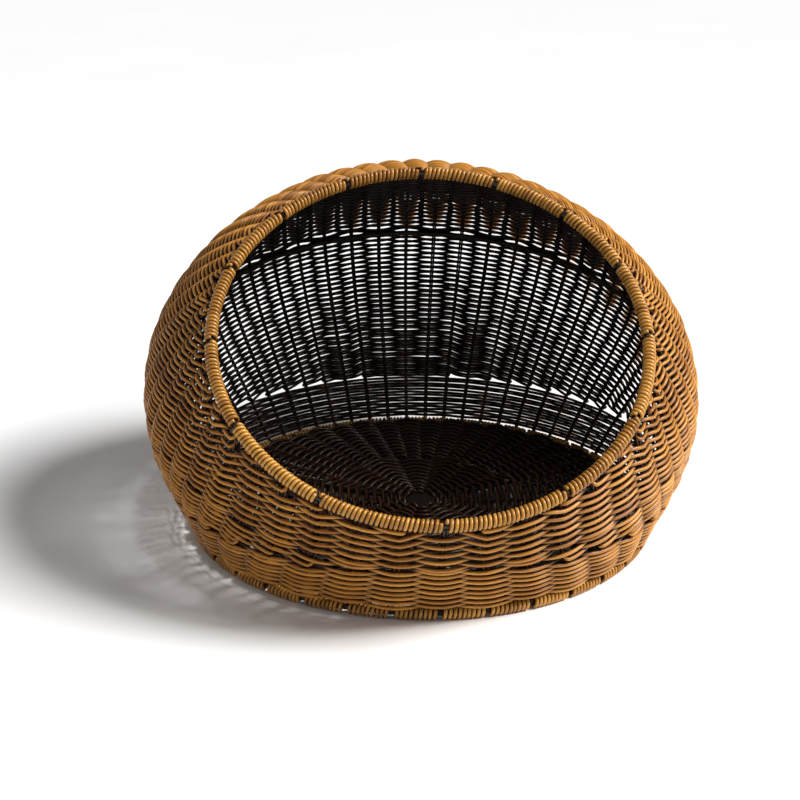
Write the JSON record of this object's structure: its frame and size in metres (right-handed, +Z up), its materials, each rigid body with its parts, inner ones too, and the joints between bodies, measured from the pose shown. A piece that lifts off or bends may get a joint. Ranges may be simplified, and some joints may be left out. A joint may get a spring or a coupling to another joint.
{
  "type": "wicker pet bed basket",
  "caption": "Squat round pet bed basket woven from synthetic rattan over a wire frame, with a flat woven floor, a low front wall and a wide tilted round mouth.",
  "frame": {"origin": "middle of the footprint of the whole basket, on the ground plane it stands on", "axes": "+Z up, -Y towards the low open front, +X to the right as seen from the front"},
  "size_m": [0.5036, 0.5004, 0.3136],
  "materials": {
    "steel_frame": "satin",
    "binding_strand": "satin",
    "woven_strand": "satin"
  },
  "bodies": {
    "root": {"frame_rod_01": "steel_frame", "frame_rod_02": "steel_frame", "frame_rod_03": "steel_frame", "frame_rod_04": "steel_frame", "frame_rod_05": "steel_frame", "frame_rod_06": "steel_frame", "frame_rod_07": "steel_frame", "frame_rod_08": "steel_frame", "frame_rod_09": "steel_frame", "frame_rod_10": "steel_frame", "frame_rod_11": "steel_frame", "frame_rod_12": "steel_frame", "frame_rod_13": "steel_frame", "frame_rod_14": "steel_frame", "rim_hoop": "steel_frame", "base_hoop": "steel_frame", "belt_hoop": "steel_frame", "rim_wrap_01": "binding_strand", "rim_wrap_02": "binding_strand", "rim_wrap_03": "binding_strand", "rim_wrap_04": "binding_strand", "rim_wrap_05": "binding_strand", "rim_wrap_06": "binding_strand", "rim_wrap_07": "binding_strand", "rim_wrap_08": "binding_strand", "rim_wrap_09": "binding_strand", "rim_wrap_10": "binding_strand", "rim_wrap_11": "binding_strand", "rim_wrap_12": "binding_strand", "rim_wrap_13": "binding_strand", "rim_wrap_14": "binding_strand", "base_wrap_01": "binding_strand", "base_wrap_02": "binding_strand", "base_wrap_03": "binding_strand", "base_wrap_04": "binding_strand", "base_wrap_05": "binding_strand", "base_wrap_06": "binding_strand", "base_wrap_07": "binding_strand", "base_wrap_08": "binding_strand", "base_wrap_09": "binding_strand", "base_wrap_10": "binding_strand", "base_wrap_11": "binding_strand", "base_wrap_12": "binding_strand", "base_wrap_13": "binding_strand", "base_wrap_14": "binding_strand", "wall_weave_lower": "woven_strand", "wall_weave_upper": "woven_strand", "floor_weave": "woven_strand", "floor_hub": "steel_frame"}
  },
  "joints": []
}
